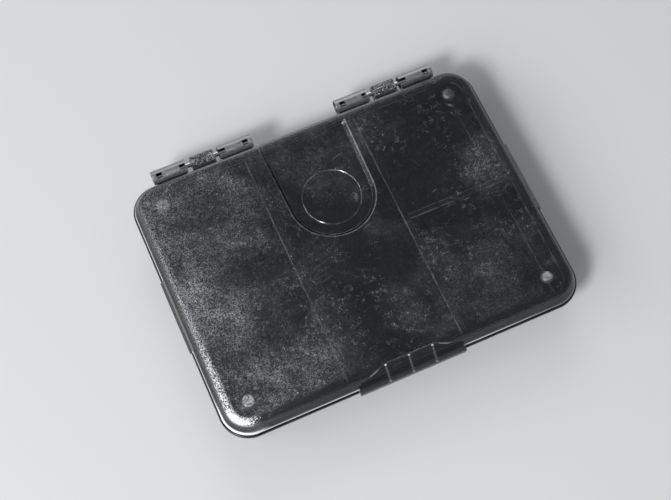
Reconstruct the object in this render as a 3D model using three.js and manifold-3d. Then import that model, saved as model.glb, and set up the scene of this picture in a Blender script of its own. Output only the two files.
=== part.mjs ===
// Mini tackle box: a flat hinged box with a black moulded tray, loose-plate dividers and a smoked
// clear lid that turns on two pinned hinges along the back.
// Units are millimetres. The origin is the centre of the underside, +X is the box's right,
// +Y is its hinge side and +Z is up. The lid is modelled shut.

import * as THREE from 'three';
import { mergeVertices, toCreasedNormals } from 'three/addons/utils/BufferGeometryUtils.js';
import Module from 'manifold-3d';

const wasm = await Module();
wasm.setup();

// Whole box
const boxLength = 115; // along X, over the tray's rim flange
const boxDepth = 86.4; // along Y, over the tray's rim flange
const cornerRadius = 9; // of the rim flange, in plan
const rimHeight = 12.2; // underside to the top of the flange, where the lid sits
const lidRise = 5; // top of the flange to the flat top of the lid
const fitGap = 0.3; // clearance between pieces that sit in or on each other

// Tray
const trayWall = 1.9;
const trayFloor = 1.6;
const trayDraft = 0.6; // how far the walls lean in from the flange down to the floor
const footRound = 1.6; // outside edge of the underside
const pocketRound = 2; // inside edge of the floor
const flangeReach = 2.3; // how far the flange stands out from the tray wall
const flangeThickness = 1.3;
const flangeRound = 0.2;
const copingWall = 1.2; // the wall's upstand inside the lid
const copingRound = 0.3;

// Dividers
const dividerOffset = 18.45; // centre of the long dividers from the middle of the box
const dividerThickness = 2.25;
const dividerTopRound = 0.9;
const crossOffset = 1.4; // centre of the cross divider from the middle, towards the hinges
const crossThickness = 2.3;
const grooveDepth = 0.7; // of the grooves that hold the divider ends
const crossGrooveDepth = 0.55; // of the groove in the long divider's side

// Lid
const lidSetIn = 0.45; // lid skirt inside the edge of the flange
const lidWall = 1.5; // of the flat top
const shoulderRadius = 2.6; // rounding between the flat top and the skirt
const skirtLeanDegrees = 24; // of the skirt from upright
const ceilingRound = 1.1; // inside edge of the lid's top
const lidHeadroom = 0.6; // between the tray's upstands and the lowest part of the lid's top

// Sunken tongue in the lid's top, with a ring groove in its floor
const tongueBackHalfWidth = 14.4;
const tongueTipRadius = 13.6;
const tongueTipCentre = 15.9; // centre of the round end from the middle, towards the hinges
const tongueDepth = 1.1;
const tongueSlope = 1.1; // horizontal run of its side walls
const tongueLand = 0.2; // flat left between the tongue and the lid's back shoulder
const ringRadius = 9.1;
const ringWidth = 0.5;
const ringDepth = 0.35;

// Round discs in sockets under the corners of the lid's top
const discInset = 9.3; // from the edges of the flange
const discRadius = 2;
const discThickness = 1.5;
const discSkin = 0.6; // lid left over a disc's socket
const socketWall = 0.8;

// Thumb latch on the front of the lid
const latchTopHalfWidth = 8.4;
const latchFootHalfWidth = 17;
const latchShoulderDrop = 2.5; // from the lid's top to where the latch is widest
const scoopInset = 3.7; // front edge of the flange to the top edge of the slanted face
const scoopDrop = 4.8; // from the lid's top to the foot of the slanted face
const lipReach = 0.9; // thumb lip beyond the flange
const lipDrop = 1.6; // thumb lip below the top of the flange
const lipRound = 0.35;
const gripPitch = 7.5;
const gripWidth = 0.9;
const gripHeight = 0.5;

// Side tabs of the lid
const tabHalfLength = 12;
const tabProud = 0.4; // beyond the flange
const tabDrop = 1.2; // below the top of the flange
const tabRise = 2.6; // above the top of the flange
const tabRound = 0.3;

// Hinges
const hingeInset = 10; // ends of the flange to the outer ends of the hinges
const sleeveRadius = 2.3;
const sleeveWall = 0.45;
const sleeveLength = 11.1;
const knuckleLength = 7.6;
const knuckleSide = 3.7;
const knuckleRound = 0.8;
const knuckleGap = 1.65; // between the lid's knuckle and each sleeve
const pinRadius = 0.75;
const pinInset = 0.3; // pin ends inside the sleeves' outer ends
const lugInset = 0.6; // lug ends inside the sleeve's ends
const webThickness = 1.2;
const windowLength = 1.9; // along the sleeve
const windowWidth = 1.6;
const windowInset = 1.3; // from the sleeve's outer end
const notchLength = 2.2; // open slot at the sleeve's inner end
const windowTiltDegrees = 16; // from straight up, towards the front
const gussetThickness = 1.2;
const gussetInset = 1.8; // from the sleeve's ends
const gussetDrop = 3.6; // below the web

// Making
const overcut = 1; // how far a cutter runs past the face that it opens
const weldTolerance = 0.0005;
const creaseDegrees = 30; // edges sharper than this are shaded as edges
const cornerSteps = 10;
const arcSteps = 5;
const tongueSteps = 24;
const roundSteps = 24;

// Places that follow from the sizes
const lidTop = rimHeight + lidRise;
const lidFoot = rimHeight + fitGap;
const copingTop = lidTop - lidWall - tongueDepth - lidHeadroom;
const pocketInset = flangeReach + trayWall;
const copingInset = pocketInset - copingWall;
const flangeUnder = rimHeight - flangeThickness;
const skirtLean = THREE.MathUtils.degToRad(skirtLeanDegrees);
const shoulderRun = shoulderRadius * Math.cos(skirtLean);
const shoulderDrop = shoulderRadius * (1 - Math.sin(skirtLean));
const skirtRun = (lidTop - shoulderDrop - lidFoot) * Math.tan(skirtLean);
const flatInset = lidSetIn + skirtRun + shoulderRun;
const backEdge = boxDepth / 2;
const frontEdge = -boxDepth / 2;
const rightEdge = boxLength / 2;
const axisY = backEdge + sleeveRadius;
const axisZ = rimHeight;
const sleeveCentre = knuckleLength / 2 + knuckleGap + sleeveLength / 2; // from the hinge's centre
const hingeHalfLength = knuckleLength / 2 + knuckleGap + sleeveLength;
const hingeOffset = boxLength / 2 - hingeInset - hingeHalfLength;
const windowTilt = THREE.MathUtils.degToRad(windowTiltDegrees);

// Geometry helpers

// A closed solid for boolean work, from any closed geometry.
function solid(geometry) {
  const bare = geometry.clone();
  bare.deleteAttribute('normal');
  bare.deleteAttribute('uv');
  const welded = mergeVertices(bare, weldTolerance);
  return new wasm.Manifold(new wasm.Mesh({
    numProp: 3,
    vertProperties: new Float32Array(welded.attributes.position.array),
    triVerts: new Uint32Array(welded.index.array),
  }));
}

function geometryOf(body) {
  const mesh = body.getMesh();
  const geometry = new THREE.BufferGeometry();
  geometry.setAttribute('position', new THREE.BufferAttribute(mesh.vertProperties, 3));
  geometry.setIndex(new THREE.BufferAttribute(mesh.triVerts, 1));
  return toCreasedNormals(geometry, THREE.MathUtils.degToRad(creaseDegrees));
}

function block(x0, x1, y0, y1, z0, z1) {
  const geometry = new THREE.BoxGeometry(x1 - x0, y1 - y0, z1 - z0);
  geometry.translate((x0 + x1) / 2, (y0 + y1) / 2, (z0 + z1) / 2);
  return solid(geometry);
}

// A cylinder along X, or along Z.
function rodX(radius, x0, x1, y, z) {
  const geometry = new THREE.CylinderGeometry(radius, radius, x1 - x0, roundSteps);
  geometry.rotateZ(Math.PI / 2);
  geometry.translate((x0 + x1) / 2, y, z);
  return solid(geometry);
}

function rodZ(radius, x, y, z0, z1) {
  const geometry = new THREE.CylinderGeometry(radius, radius, z1 - z0, roundSteps);
  geometry.rotateX(Math.PI / 2);
  geometry.translate(x, y, (z0 + z1) / 2);
  return solid(geometry);
}

// A prism from an outline of [y, z] points along X, or of [x, z] points along Y.
function prismX(outline, x0, x1) {
  const shape = new THREE.Shape(outline.map(([y, z]) => new THREE.Vector2(y, z)));
  const geometry = new THREE.ExtrudeGeometry(shape, { depth: x1 - x0, bevelEnabled: false });
  geometry.applyMatrix4(new THREE.Matrix4().makeBasis(
    new THREE.Vector3(0, 1, 0), new THREE.Vector3(0, 0, 1), new THREE.Vector3(1, 0, 0)));
  geometry.translate(x0, 0, 0);
  return solid(geometry);
}

function prismY(outline, y0, y1) {
  const shape = new THREE.Shape(outline.map(([x, z]) => new THREE.Vector2(x, z)));
  const geometry = new THREE.ExtrudeGeometry(shape, { depth: y1 - y0, bevelEnabled: false });
  geometry.applyMatrix4(new THREE.Matrix4().makeBasis(
    new THREE.Vector3(1, 0, 0), new THREE.Vector3(0, 0, 1), new THREE.Vector3(0, -1, 0)));
  geometry.translate(0, y1, 0);
  return solid(geometry);
}

// A skin over sections of equal point counts, each counter-clockwise seen from above, closed by a
// fan at both ends.
function loft(sections) {
  const count = sections[0].length;
  const vertices = sections.flat();
  const faces = [];
  for (let s = 0; s + 1 < sections.length; s += 1) {
    for (let i = 0; i < count; i += 1) {
      const next = (i + 1) % count;
      const a = s * count + i;
      const b = s * count + next;
      faces.push(a, b, b + count, a, b + count, a + count);
    }
  }
  const closeEnd = (section, first, outward) => {
    const centre = section.reduce((sum, p) => sum.add(p), new THREE.Vector3());
    vertices.push(centre.divideScalar(count));
    for (let i = 0; i < count; i += 1) {
      const here = first + i;
      const next = first + (i + 1) % count;
      faces.push(vertices.length - 1, outward ? here : next, outward ? next : here);
    }
  };
  closeEnd(sections[0], 0, false);
  closeEnd(sections.at(-1), (sections.length - 1) * count, true);
  const geometry = new THREE.BufferGeometry().setFromPoints(vertices);
  geometry.setIndex(faces);
  return solid(geometry);
}

// The rim's plan outline, moved in by an inset, at a height.
function planSection(inset, z) {
  const radius = cornerRadius - inset;
  const x = boxLength / 2 - cornerRadius;
  const y = boxDepth / 2 - cornerRadius;
  const centres = [[x, y], [-x, y], [-x, -y], [x, -y]];
  return centres.flatMap(([cx, cy], quarter) => Array.from({ length: cornerSteps + 1 }, (_, i) => {
    const angle = (quarter + i / cornerSteps) * Math.PI / 2;
    return new THREE.Vector3(cx + radius * Math.cos(angle), cy + radius * Math.sin(angle), z);
  }));
}

// Points of an arc as [inset, z], between two angles. Insets grow towards the middle of the box.
function profileArc(inset, z, radius, fromAngle, toAngle) {
  return Array.from({ length: arcSteps + 1 }, (_, i) => {
    const angle = fromAngle + (toAngle - fromAngle) * i / arcSteps;
    return [inset - radius * Math.cos(angle), z + radius * Math.sin(angle)];
  });
}

function shell(profile) {
  return loft(profile.map(([inset, z]) => planSection(inset, z)));
}

const quarterTurn = Math.PI / 2;

// Tray

function trayShell() {
  const footInset = flangeReach + trayDraft;
  const pocketFootInset = pocketInset + trayDraft;
  return shell([
    ...profileArc(footInset + footRound, footRound, footRound, -quarterTurn, 0),
    [flangeReach, flangeUnder],
    [flangeRound, flangeUnder],
    [0, flangeUnder + flangeRound],
    [0, rimHeight - flangeRound],
    [flangeRound, rimHeight],
    [copingInset, rimHeight],
    [copingInset, copingTop - copingRound],
    [copingInset + copingRound, copingTop],
    [pocketInset - copingRound, copingTop],
    [pocketInset, copingTop - copingRound],
    ...profileArc(pocketFootInset + pocketRound, trayFloor + pocketRound, pocketRound, 0, -quarterTurn),
  ]);
}

// The flange is cut back where the lid's latch and side tabs pass and where the hinges turn.
function flangeReliefs() {
  const tabRelief = lidSetIn + fitGap;
  const latchHalf = latchFootHalfWidth + fitGap;
  const tabHalf = tabHalfLength + fitGap;
  const low = flangeUnder - overcut;
  const high = rimHeight + fitGap;
  const sideRelief = (side) => {
    const inner = side * (rightEdge - tabRelief);
    const outer = side * (rightEdge + overcut);
    return block(Math.min(inner, outer), Math.max(inner, outer), -tabHalf, tabHalf, low, high);
  };
  const hingeRelief = (side) => {
    const half = hingeHalfLength + fitGap;
    const centre = side * hingeOffset;
    return block(centre - half, centre + half, backEdge - tabRelief, backEdge + overcut, low, high);
  };
  return [
    block(-latchHalf, latchHalf, frontEdge - overcut, frontEdge + tabRelief, low, high),
    sideRelief(-1), sideRelief(1), hingeRelief(-1), hingeRelief(1),
  ];
}

// Where each of the four sleeves sits: its middle and which way its outer end points.
const sleevePlaces = {
  hinge_sleeve_left_outer: { centre: -hingeOffset - sleeveCentre, outward: -1 },
  hinge_sleeve_left_inner: { centre: -hingeOffset + sleeveCentre, outward: 1 },
  hinge_sleeve_right_inner: { centre: hingeOffset - sleeveCentre, outward: -1 },
  hinge_sleeve_right_outer: { centre: hingeOffset + sleeveCentre, outward: 1 },
};

// A window near the outer end and an open notch at the inner end, cut down to the pin.
function windowCutters({ centre, outward }) {
  const outerEnd = centre + outward * sleeveLength / 2;
  const innerEnd = centre - outward * sleeveLength / 2;
  const depth = sleeveRadius + overcut;
  const cutter = (x, length) => {
    const geometry = new THREE.BoxGeometry(length, windowWidth, depth);
    geometry.translate(0, 0, depth / 2);
    geometry.rotateX(windowTilt);
    geometry.translate(x, axisY, axisZ);
    return solid(geometry);
  };
  return [
    cutter(outerEnd - outward * (windowInset + windowLength / 2), windowLength),
    cutter(innerEnd - outward * (overcut - notchLength) / 2, notchLength + overcut),
  ];
}

// The tray's part of a hinge: a lug inside each sleeve on a web from the flange, with two gussets.
function trayLug(place) {
  const half = sleeveLength / 2 - lugInset;
  const x0 = place.centre - half;
  const x1 = place.centre + half;
  const lugRadius = sleeveRadius - sleeveWall - fitGap;
  const webTop = axisZ - fitGap;
  const webUnder = webTop - webThickness;
  const wallInside = backEdge - flangeReach - trayWall / 2;
  let lug = rodX(lugRadius, x0, x1, axisY, axisZ);
  lug = lug.add(block(x0, x1, wallInside, axisY - pinRadius - fitGap, webUnder, webTop));
  for (const side of [-1, 1]) {
    const x = place.centre + side * (sleeveLength / 2 - gussetInset) - gussetThickness / 2;
    const gusset = [
      [wallInside, webUnder - gussetDrop],
      [backEdge - fitGap - lidSetIn, webUnder],
      [backEdge - fitGap - lidSetIn, webTop],
      [wallInside, webTop],
    ];
    lug = lug.add(prismX(gusset, x, x + gussetThickness));
  }
  lug = lug.subtract(rodX(pinRadius + fitGap, x0 - overcut, x1 + overcut, axisY, axisZ));
  return windowCutters(place).reduce((body, cutter) => body.subtract(cutter), lug);
}

function dividerGrooves() {
  const low = trayFloor - fitGap;
  const high = copingTop + overcut;
  const longHalf = backEdge - pocketInset + grooveDepth;
  const half = dividerThickness / 2 + fitGap;
  const crossHalf = crossThickness / 2 + fitGap;
  const grooves = [-1, 1].map((side) => {
    const x = side * dividerOffset;
    return block(x - half, x + half, -longHalf, longHalf, low, high);
  });
  grooves.push(block(dividerOffset, rightEdge - pocketInset + grooveDepth,
    crossOffset - crossHalf, crossOffset + crossHalf, low, high));
  return grooves;
}

function makeTray() {
  let tray = trayShell();
  for (const cutter of [...flangeReliefs(), ...dividerGrooves()]) tray = tray.subtract(cutter);
  for (const place of Object.values(sleevePlaces)) tray = tray.add(trayLug(place));
  return tray;
}

// Dividers

// A plate section [across, z] with rounded top edges.
function plateOutline(centre, thickness) {
  const half = thickness / 2;
  const corner = (side) => Array.from({ length: arcSteps + 1 }, (_, i) => {
    const angle = quarterTurn * (side > 0 ? i : arcSteps - i) / arcSteps;
    return [
      centre + side * (half - dividerTopRound + dividerTopRound * Math.cos(angle)),
      copingTop - dividerTopRound + dividerTopRound * Math.sin(angle),
    ];
  });
  return [[centre - half, trayFloor], [centre + half, trayFloor], ...corner(1), ...corner(-1)];
}

const plateReach = grooveDepth - fitGap; // of a plate's end into its groove

function makeLongDivider(side) {
  const half = backEdge - pocketInset + plateReach;
  const plate = prismY(plateOutline(side * dividerOffset, dividerThickness), -half, half);
  if (side < 0) return plate;
  const face = dividerOffset + dividerThickness / 2;
  const crossHalf = crossThickness / 2 + fitGap;
  return plate.subtract(block(face - crossGrooveDepth, face + overcut, crossOffset - crossHalf,
    crossOffset + crossHalf, trayFloor - overcut, copingTop + overcut));
}

function makeCrossDivider() {
  const start = dividerOffset + dividerThickness / 2 - crossGrooveDepth + fitGap;
  const end = rightEdge - pocketInset + plateReach;
  return prismX(plateOutline(crossOffset, crossThickness), start, end);
}

// Hinge hardware

function makeSleeve(place) {
  const x0 = place.centre - sleeveLength / 2;
  const x1 = place.centre + sleeveLength / 2;
  const webTop = axisZ - fitGap;
  let sleeve = rodX(sleeveRadius, x0, x1, axisY, axisZ);
  sleeve = sleeve.subtract(rodX(sleeveRadius - sleeveWall, x0 - overcut, x1 + overcut, axisY, axisZ));
  sleeve = sleeve.subtract(block(x0 - overcut, x1 + overcut, axisY - sleeveRadius - overcut,
    axisY - pinRadius, webTop - webThickness - fitGap, webTop + fitGap));
  return windowCutters(place).reduce((body, cutter) => body.subtract(cutter), sleeve);
}

function makePin(side) {
  const half = hingeHalfLength - pinInset;
  const centre = side * hingeOffset;
  return rodX(pinRadius, centre - half, centre + half, axisY, axisZ);
}

// Lid

function lidOutside() {
  return shell([
    [lidSetIn, lidFoot],
    ...profileArc(flatInset, lidTop - shoulderRadius, shoulderRadius, skirtLean, quarterTurn),
  ]);
}

function lidHollow() {
  const wallInset = copingInset - fitGap;
  const ceiling = lidTop - lidWall;
  return shell([
    [wallInset, lidFoot - overcut],
    ...profileArc(wallInset + ceilingRound, ceiling - ceilingRound, ceilingRound, 0, quarterTurn),
  ]);
}

// The tongue's plan outline at a height, moved in by an inset.
function tongueSection(inset, z) {
  const radius = tongueTipRadius - inset;
  const backY = backEdge - flatInset - tongueLand - inset;
  const halfWidth = tongueBackHalfWidth - inset;
  const tip = Array.from({ length: tongueSteps + 1 }, (_, i) => {
    const angle = Math.PI * (1 + i / tongueSteps);
    return new THREE.Vector3(radius * Math.cos(angle), tongueTipCentre + radius * Math.sin(angle), z);
  });
  return [...tip, new THREE.Vector3(halfWidth, backY, z), new THREE.Vector3(-halfWidth, backY, z)];
}

function addTongue(lid) {
  const floorZ = lidTop - tongueDepth;
  const bossSpread = lidWall / 2; // the boss below is wider than the tongue by this much
  const boss = loft([
    tongueSection(tongueSlope - bossSpread, floorZ - lidWall),
    tongueSection(-bossSpread, lidTop - lidWall),
    tongueSection(-bossSpread, lidTop - lidWall / 2),
  ]);
  const overRun = overcut * tongueSlope / tongueDepth;
  const hollow = loft([
    tongueSection(tongueSlope, floorZ),
    tongueSection(-overRun, lidTop + overcut),
  ]);
  const groove = rodZ(ringRadius + ringWidth / 2, 0, tongueTipCentre, floorZ - ringDepth, lidTop)
    .subtract(rodZ(ringRadius - ringWidth / 2, 0, tongueTipCentre, floorZ - ringDepth - overcut,
      lidTop + overcut));
  return lid.add(boss).subtract(hollow).subtract(groove);
}

// Front view of the latch, and its section with the slanted face and the thumb lip.
function latchZone() {
  const low = rimHeight - lipDrop;
  const outline = [
    [-latchFootHalfWidth, low], [latchFootHalfWidth, low],
    [latchFootHalfWidth, lidTop - latchShoulderDrop], [latchTopHalfWidth, lidTop],
    [latchTopHalfWidth, lidTop + overcut], [-latchTopHalfWidth, lidTop + overcut],
    [-latchTopHalfWidth, lidTop], [-latchFootHalfWidth, lidTop - latchShoulderDrop],
  ];
  return prismY(outline, frontEdge - lipReach - overcut, frontEdge + flatInset);
}

function latchSection(raised) {
  const low = rimHeight - lipDrop;
  const lipFace = frontEdge - lipReach;
  return [
    [frontEdge + flatInset, lidFoot],
    [frontEdge + flatInset, lidTop],
    [frontEdge + scoopInset - raised, lidTop],
    [lipFace, lidTop - scoopDrop + raised],
    [lipFace, low + lipRound],
    [lipFace + lipRound, low],
    [frontEdge + lidSetIn, low],
    [frontEdge + lidSetIn, lidFoot],
  ];
}

function addLatch(lid) {
  const zone = latchZone();
  const body = prismX(latchSection(0), -latchFootHalfWidth - overcut, latchFootHalfWidth + overcut);
  let latched = lid.subtract(zone.subtract(body)).add(zone.intersect(body));
  for (const place of [-gripPitch, 0, gripPitch]) {
    latched = latched.add(prismX(latchSection(gripHeight), place - gripWidth / 2, place + gripWidth / 2));
  }
  return latched;
}

function sideTab(side) {
  const face = rightEdge + tabProud;
  const low = rimHeight - tabDrop;
  const inWall = rightEdge - (lidSetIn + copingInset - fitGap) / 2;
  const outline = [
    [inWall, lidFoot], [rightEdge - lidSetIn, lidFoot], [rightEdge - lidSetIn, low],
    [face - tabRound, low], [face, low + tabRound], [face, lidFoot],
    [inWall, rimHeight + tabRise],
  ].map(([x, z]) => [side * x, z]);
  return prismY(side > 0 ? outline : outline.reverse(), -tabHalfLength, tabHalfLength);
}

// The lid's knuckle between two sleeves, with the arm that joins it to the skirt.
function lidKnuckle(side) {
  const x0 = side * hingeOffset - knuckleLength / 2;
  const x1 = side * hingeOffset + knuckleLength / 2;
  const flat = knuckleSide / 2 - knuckleRound;
  const outline = [[1, 1], [-1, 1], [-1, -1], [1, -1]].flatMap(([sy, sz], quarter) => (
    Array.from({ length: arcSteps + 1 }, (_, i) => {
      const angle = (quarter + i / arcSteps) * quarterTurn;
      return [
        axisY + sy * flat + knuckleRound * Math.cos(angle),
        axisZ + sz * flat + knuckleRound * Math.sin(angle),
      ];
    })));
  const wallMiddle = backEdge - (lidSetIn + copingInset - fitGap) / 2;
  return prismX(outline, x0, x1)
    .add(block(x0, x1, wallMiddle, axisY, lidFoot, axisZ + knuckleSide / 2));
}

const discPlaces = {
  corner_disc_front_left: [-1, -1],
  corner_disc_front_right: [1, -1],
  corner_disc_back_left: [-1, 1],
  corner_disc_back_right: [1, 1],
};
const discTop = lidTop - discSkin - fitGap;
const discUnder = discTop - discThickness;

function discCentre([sx, sy]) {
  return [sx * (rightEdge - discInset), sy * (backEdge - discInset)];
}

function makeLid() {
  let lid = addTongue(addLatch(lidOutside()).subtract(lidHollow()));
  lid = lid.add(sideTab(-1)).add(sideTab(1)).add(lidKnuckle(-1)).add(lidKnuckle(1));
  const x0 = -hingeOffset - hingeHalfLength;
  lid = lid.subtract(rodX(pinRadius + fitGap, x0, -x0, axisY, axisZ));
  for (const corner of Object.values(discPlaces)) {
    const [x, y] = discCentre(corner);
    lid = lid.add(rodZ(discRadius + fitGap + socketWall, x, y, discUnder, lidTop - lidWall / 2));
    lid = lid.subtract(rodZ(discRadius + fitGap, x, y, discUnder - overcut, discTop + fitGap));
  }
  return lid;
}

function makeDisc(corner) {
  const [x, y] = discCentre(corner);
  return rodZ(discRadius, x, y, discUnder, discTop);
}

// Materials
const blackPlastic = { color: 0x17181a, roughness: 0.3, metalness: 0 };
const smokedPlastic = { color: 0x3a3d42, roughness: 0.25, metalness: 0, transparent: true, opacity: 0.55 };
const satinMetal = { color: 0x989d9d, roughness: 0.45, metalness: 0.8 };
const steel = { color: 0xb9bcc0, roughness: 0.25, metalness: 1 };

function piece(name, body, look) {
  const mesh = new THREE.Mesh(geometryOf(body), new THREE.MeshStandardMaterial(look));
  mesh.name = name;
  return mesh;
}

const base = new THREE.Group();
base.add(piece('base_tray', makeTray(), blackPlastic));
base.add(piece('divider_left', makeLongDivider(-1), blackPlastic));
base.add(piece('divider_right', makeLongDivider(1), blackPlastic));
base.add(piece('cross_divider', makeCrossDivider(), blackPlastic));
for (const [name, place] of Object.entries(sleevePlaces)) {
  base.add(piece(name, makeSleeve(place), satinMetal));
}
base.add(piece('hinge_pin_left', makePin(-1), steel));
base.add(piece('hinge_pin_right', makePin(1), steel));

const lid = new THREE.Group();
lid.add(piece('lid_shell', makeLid(), smokedPlastic));
for (const [name, corner] of Object.entries(discPlaces)) {
  lid.add(piece(name, makeDisc(corner), steel));
}

const box = new THREE.Group();
box.add(base, lid);

export default box;
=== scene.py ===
# %% [markdown]
# A mini tackle box, dressed for its portrait. The frame holds the measured solids; each step below
# gives one of its pieces a finer mesh, or a finish, and leaves the sizes as they are.

import math
from types import SimpleNamespace

import bmesh
import bpy
from mathutils import Matrix, Vector


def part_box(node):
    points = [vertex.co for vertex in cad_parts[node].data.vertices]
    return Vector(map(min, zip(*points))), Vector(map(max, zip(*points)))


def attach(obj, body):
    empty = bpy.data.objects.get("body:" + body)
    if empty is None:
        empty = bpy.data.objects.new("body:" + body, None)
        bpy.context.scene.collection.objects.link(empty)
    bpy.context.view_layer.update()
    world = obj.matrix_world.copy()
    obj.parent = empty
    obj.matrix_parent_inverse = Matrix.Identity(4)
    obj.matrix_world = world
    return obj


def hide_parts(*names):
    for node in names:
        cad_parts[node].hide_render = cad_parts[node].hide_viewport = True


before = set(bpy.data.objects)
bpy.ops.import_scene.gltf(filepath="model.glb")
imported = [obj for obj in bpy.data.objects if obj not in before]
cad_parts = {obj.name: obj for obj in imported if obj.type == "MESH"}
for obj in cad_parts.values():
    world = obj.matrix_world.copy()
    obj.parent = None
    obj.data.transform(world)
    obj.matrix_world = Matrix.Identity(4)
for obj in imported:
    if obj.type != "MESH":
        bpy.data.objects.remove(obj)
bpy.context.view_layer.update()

# %% [markdown]
# The sizes that set the overall shape are read from the frame's own boxes, so the dressed pieces
# can't drift away from the solids. The small ones, such as the rounding of an edge, are named here
# in millimetres.

# %% Sizes of the box
MM = 0.001

tray_low, tray_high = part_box("base_tray")
lid_low, lid_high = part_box("lid_shell")
pin_nodes = ("hinge_pin_left", "hinge_pin_right")
pin_low, pin_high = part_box(pin_nodes[0])

RIM_X = tray_high.x  # the rim flange's edges
RIM_Y = -tray_low.y
LID_TOP = lid_high.z
COPING_TOP = tray_high.z  # the wall's upstand inside the lid
PIN_RADIUS = (pin_high.y - pin_low.y) / 2
AXIS_Y = (pin_low.y + pin_high.y) / 2
AXIS_Z = (pin_low.z + pin_high.z) / 2
RIM_Z = AXIS_Z  # the hinge axis lies level with the rim

CORNER = 9 * MM  # rounding of the rim's corners, in plan
FIT = 0.3 * MM  # clearance between pieces
EDGE = 0.15 * MM  # rounding of a moulded edge
LID_FOOT = RIM_Z + FIT
LID_WALL = 1.5 * MM
CEILING_Z = LID_TOP - LID_WALL
print("rim, mm:", round(RIM_X / MM, 1), "by", round(RIM_Y / MM, 1), "at", round(RIM_Z / MM, 1))

# %% [markdown]
# The camera comes first, because everything is judged through it. It looks steeply down from the
# front left with a long lens, as a product photographer does over a table, so that the near edge is
# hardly larger than the far one.

# %% Camera
AZIMUTH = math.radians(-23.913)
ELEVATION = math.radians(67.056)
DISTANCE = 428.77 * MM
AIM_RIGHT = -5.25 * MM  # where the lens points, from the middle of the lid's top
AIM_UP = -3.27 * MM
LENS_PX = 1427.9  # focal length in pixels of an image 671 pixels wide
IMAGE_WIDTH_PX = 671


def new_object(name, data):
    """An object in the scene."""
    made = bpy.data.objects.new(name, data)
    bpy.context.scene.collection.objects.link(made)
    return made


def away(around, above):
    """The direction from the box of something at these angles, round it and up."""
    return Vector((math.sin(around) * math.cos(above), -math.cos(around) * math.cos(above), math.sin(above)))


back = away(AZIMUTH, ELEVATION)
right = Vector((math.cos(AZIMUTH), math.sin(AZIMUTH), 0))
up = back.cross(right)

camera = new_object("camera", bpy.data.cameras.new("camera"))
camera.data.sensor_width = 36
camera.data.lens = camera.data.sensor_width * LENS_PX / IMAGE_WIDTH_PX
camera.data.clip_start = 10 * MM
camera.data.clip_end = 20
stand = Vector((0, 0, LID_TOP)) + back * DISTANCE + right * AIM_RIGHT + up * AIM_UP
camera.matrix_world = Matrix.Translation(stand) @ Matrix((right, up, back)).transposed().to_4x4()
bpy.context.scene.camera = camera
print("lens, mm:", round(camera.data.lens, 1))

# %% [markdown]
# Every colour in this file is written as the sRGB hex value that an eye would name, and one function
# turns it into the linear numbers that the renderer works in. A second small function adds a node
# with its settings and links, so that each finish below reads as a short recipe.

# %% Helpers for finishes
def colour(hex_code):
    """Linear RGBA from an sRGB hex code such as 'a0a4a8'."""
    levels = [int(hex_code[i:i + 2], 16) / 255 for i in (0, 2, 4)]
    linear = [v / 12.92 if v <= 0.04045 else ((v + 0.055) / 1.055) ** 2.4 for v in levels]
    return (*linear, 1)


def add(tree, kind, settings=None, inputs=()):
    """Adds a node. Its inputs, by name or in order, are plain values, or nodes or sockets to link from."""
    new = tree.nodes.new(kind)
    for name, value in (settings or {}).items():
        setattr(new, name, value)
    for name, value in inputs.items() if isinstance(inputs, dict) else enumerate(inputs):
        if isinstance(value, bpy.types.Node):
            value = value.outputs[0]
        if isinstance(value, bpy.types.NodeSocket):
            tree.links.new(value, new.inputs[name])
        else:
            new.inputs[name].default_value = value
    return new


def new_finish(name):
    """An empty material and its tree."""
    material = bpy.data.materials.new(name)
    material.use_nodes = True
    material.node_tree.nodes.clear()
    return material, material.node_tree


def coat(material, tree, shader):
    """Ends a material with its shader."""
    add(tree, "ShaderNodeOutputMaterial", None, (shader,))
    print(material.name, "has", len(tree.nodes), "nodes")
    return material


# %% [markdown]
# The box stands on a plain pale floor. The key is large and soft and stands low on the left, because
# scuffs and rounded shoulders show best when light rakes over them. Two small lamps are there for
# what they mirror in: one for the right-hand slope of the lid's sunken tongue, the other for the
# rounded front left corner. Nothing hangs where the flat lid would mirror it to the camera. All lamps
# stand well back, so that the floor is lit evenly, to about the level that its colour says.

# %% Floor, lamps and world
FLOOR_HALF = 1.6
WORLD_STRENGTH = 0.28
LAMPS = {  # degrees round and up, metres away, across and high, and watts
    "key_left": (-84, 30, 1.4, 2.1, 0.5, 11.3),
    "rake_left": (-109, 10, 1.4, 0.7, 0.35, 0.6),
    "rake_corner": (-57, 44, 1.4, 0.3, 0.3, 13.0),
    "fill_back": (165, 33, 1.5, 0.85, 0.6, 3.7),
}

floor_mesh = bpy.data.meshes.new("floor")
floor_corners = [(x * FLOOR_HALF, y * FLOOR_HALF, 0) for x, y in ((-1, -1), (1, -1), (1, 1), (-1, 1))]
floor_mesh.from_pydata(floor_corners, [], [(0, 1, 2, 3)])
floor = new_object("floor", floor_mesh)
floor_finish, tree = new_finish("pale_floor")
paint = add(tree, "ShaderNodeBsdfPrincipled", None, {
    "Base Color": colour("d9dadb"), "Roughness": 0.9, "Specular IOR Level": 0.2})
floor_mesh.materials.append(coat(floor_finish, tree, paint))

for name, (around, above, distance, width, height, watts) in LAMPS.items():
    data = bpy.data.lights.new(name, "AREA")
    data.shape = "RECTANGLE"
    data.size = width
    data.size_y = height
    data.energy = watts
    light = new_object(name, data)
    direction = away(math.radians(around), math.radians(above))
    light.location = direction * distance
    light.rotation_euler = direction.to_track_quat("Z", "Y").to_euler()
    print(name, "gives", watts, "W")

world = bpy.data.worlds.new("studio")
world.use_nodes = True
sky = world.node_tree.nodes["Background"].inputs
sky["Color"].default_value = colour("dfe2e6")
sky["Strength"].default_value = WORLD_STRENGTH
bpy.context.scene.world = world
bpy.context.scene.view_settings.view_transform = "Standard"

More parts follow.
